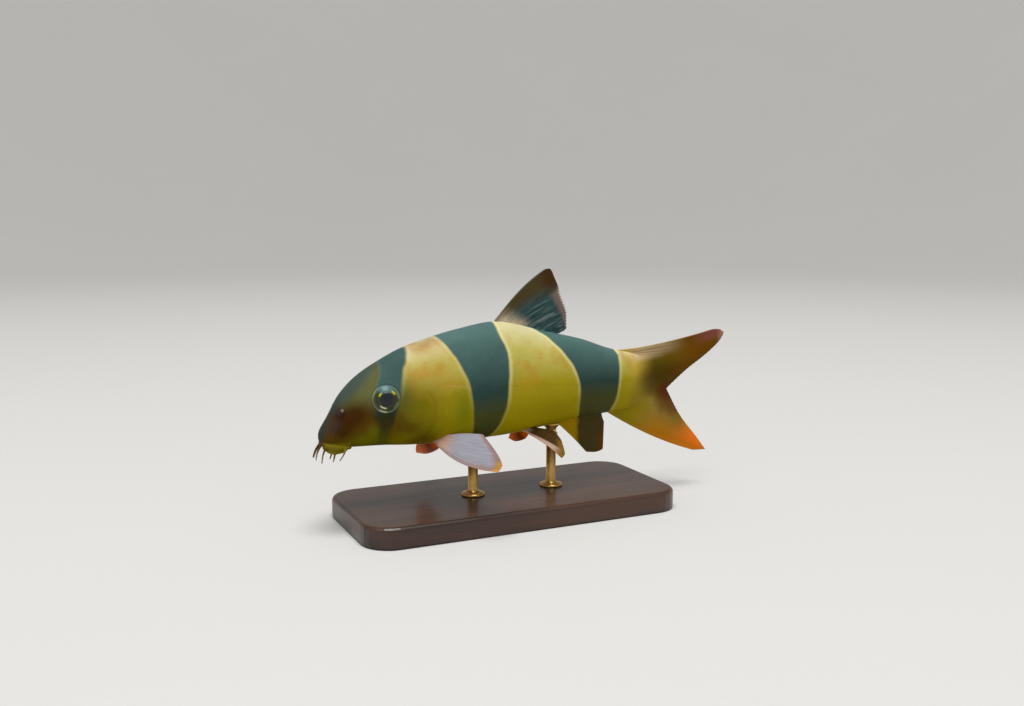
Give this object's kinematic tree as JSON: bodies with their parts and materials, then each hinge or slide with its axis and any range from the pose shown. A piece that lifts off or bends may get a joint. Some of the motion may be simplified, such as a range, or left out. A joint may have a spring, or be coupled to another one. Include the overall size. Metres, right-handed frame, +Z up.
{
  "type": "clown loach fish model",
  "caption": "Life-size banded clown loach, fins spread as it swims, held above a flat base by short rods.",
  "frame": {"origin": "centre of the stand base's flat underside", "axes": "+Z up; +X along the fish from snout to tail, the fish faces -X; its left side is towards -Y"},
  "size_m": [0.1102, 0.0411, 0.0593],
  "materials": {
    "skin_head": "wet satin skin, brown snout, teal band through the eye",
    "skin_gold": "wet satin skin, golden yellow with a dark teal band",
    "skin_banded": "wet satin skin, dark slate teal band, yellow tail root",
    "gill_cover_skin": "wet satin skin over the gill cover",
    "lip_flesh": "soft satin lip, red-brown",
    "barbel_flesh": "soft satin feeler",
    "nostril_flesh": "pale pink flap",
    "fin_dorsal_web": "rayed fin, blue-black with brown edge",
    "fin_tail_web": "rayed fin, olive to orange-red",
    "fin_anal_web": "rayed fin, black with red-brown tip",
    "fin_breast_web": "rayed fin, silvery lilac on the left, orange-red on the right",
    "fin_pelvic_web": "rayed fin, dark brown with pink front ray",
    "eye_ball": "glossy eye, dark pupil, olive iris, gold flecks",
    "stand_wood": "dark satin lacquer",
    "stand_brass": "satin"
  },
  "bodies": {
    "root": {"barbel_chin_left": "barbel_flesh", "barbel_chin_right": "barbel_flesh", "barbel_inner_snout_left": "barbel_flesh", "barbel_inner_snout_right": "barbel_flesh", "barbel_jaw_corner_left": "barbel_flesh", "barbel_jaw_corner_right": "barbel_flesh", "barbel_outer_snout_left": "barbel_flesh", "barbel_outer_snout_right": "barbel_flesh", "eye_left": "eye_ball", "eye_right": "eye_ball", "fin_anal": "fin_anal_web", "fin_dorsal": "fin_dorsal_web", "fin_pectoral_left": "fin_breast_web", "fin_pectoral_right": "fin_breast_web", "fin_pelvic_left": "fin_pelvic_web", "fin_pelvic_right": "fin_pelvic_web", "fin_tail_lower": "fin_tail_web", "fin_tail_upper": "fin_tail_web", "gill_cover_left": "gill_cover_skin", "gill_cover_right": "gill_cover_skin", "head": "skin_head", "lower_lip": "lip_flesh", "nostril_left": "nostril_flesh", "nostril_right": "nostril_flesh", "stand_base": "stand_wood", "stand_rod_front": "stand_brass", "stand_rod_rear": "stand_brass", "tail_stalk": "skin_banded", "trunk_front": "skin_gold", "trunk_rear": "skin_gold", "upper_lip": "lip_flesh"}
  },
  "joints": []
}
